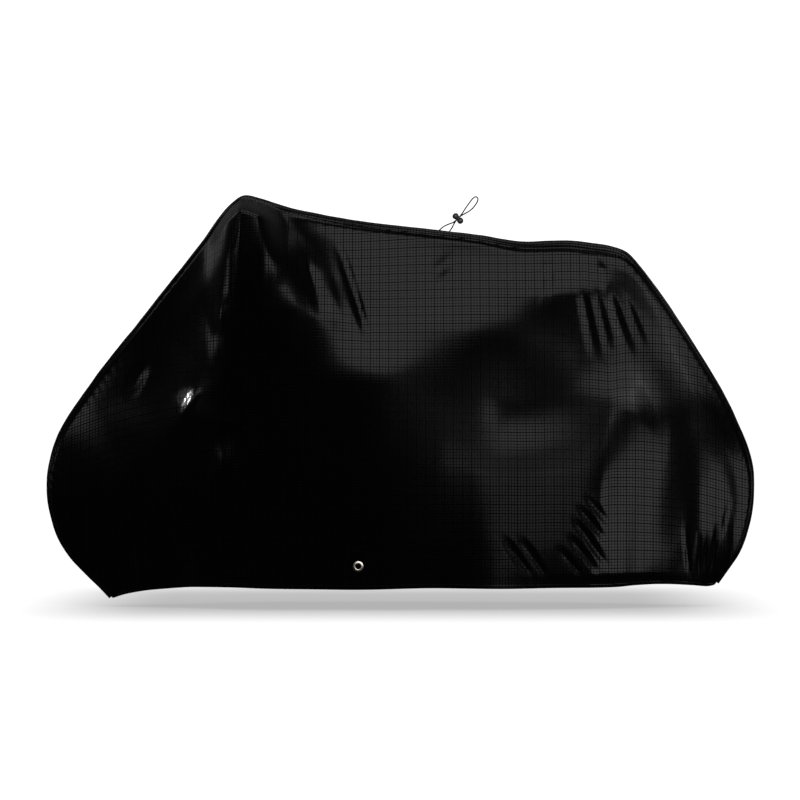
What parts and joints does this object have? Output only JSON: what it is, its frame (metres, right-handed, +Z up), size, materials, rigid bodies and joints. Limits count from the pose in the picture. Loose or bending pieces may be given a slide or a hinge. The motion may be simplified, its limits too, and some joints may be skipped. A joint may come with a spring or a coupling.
{
  "type": "bicycle cover",
  "caption": "Fitted cloth cover shaped to hang over a standing bicycle, with an arched top, open bottom, metal eyelets near the hem and an elastic tie cord with a cord lock.",
  "frame": {"origin": "on the underside of the top, where the middle of the bicycle's handlebar carries it", "axes": "+X from the handlebar towards the saddle, -Y towards the near side panel, +Z up"},
  "size_m": [1.9801, 0.5897, 1.128],
  "materials": {
    "cover_cloth": "coated ripstop polyester, soft sheen",
    "eyelet_metal": "nickel-plated brass",
    "tie_cord": "braided elastic",
    "cord_lock": "moulded acetal, satin"
  },
  "bodies": {
    "root": {"side_panel_near": "cover_cloth", "side_panel_far": "cover_cloth", "centre_gusset": "cover_cloth", "eyelet_patch_near": "cover_cloth", "eyelet_patch_far": "cover_cloth", "eyelet_near": "eyelet_metal", "eyelet_far": "eyelet_metal", "tie_cord": "tie_cord", "cord_lock_body": "cord_lock", "cord_lock_button": "cord_lock"}
  },
  "joints": []
}
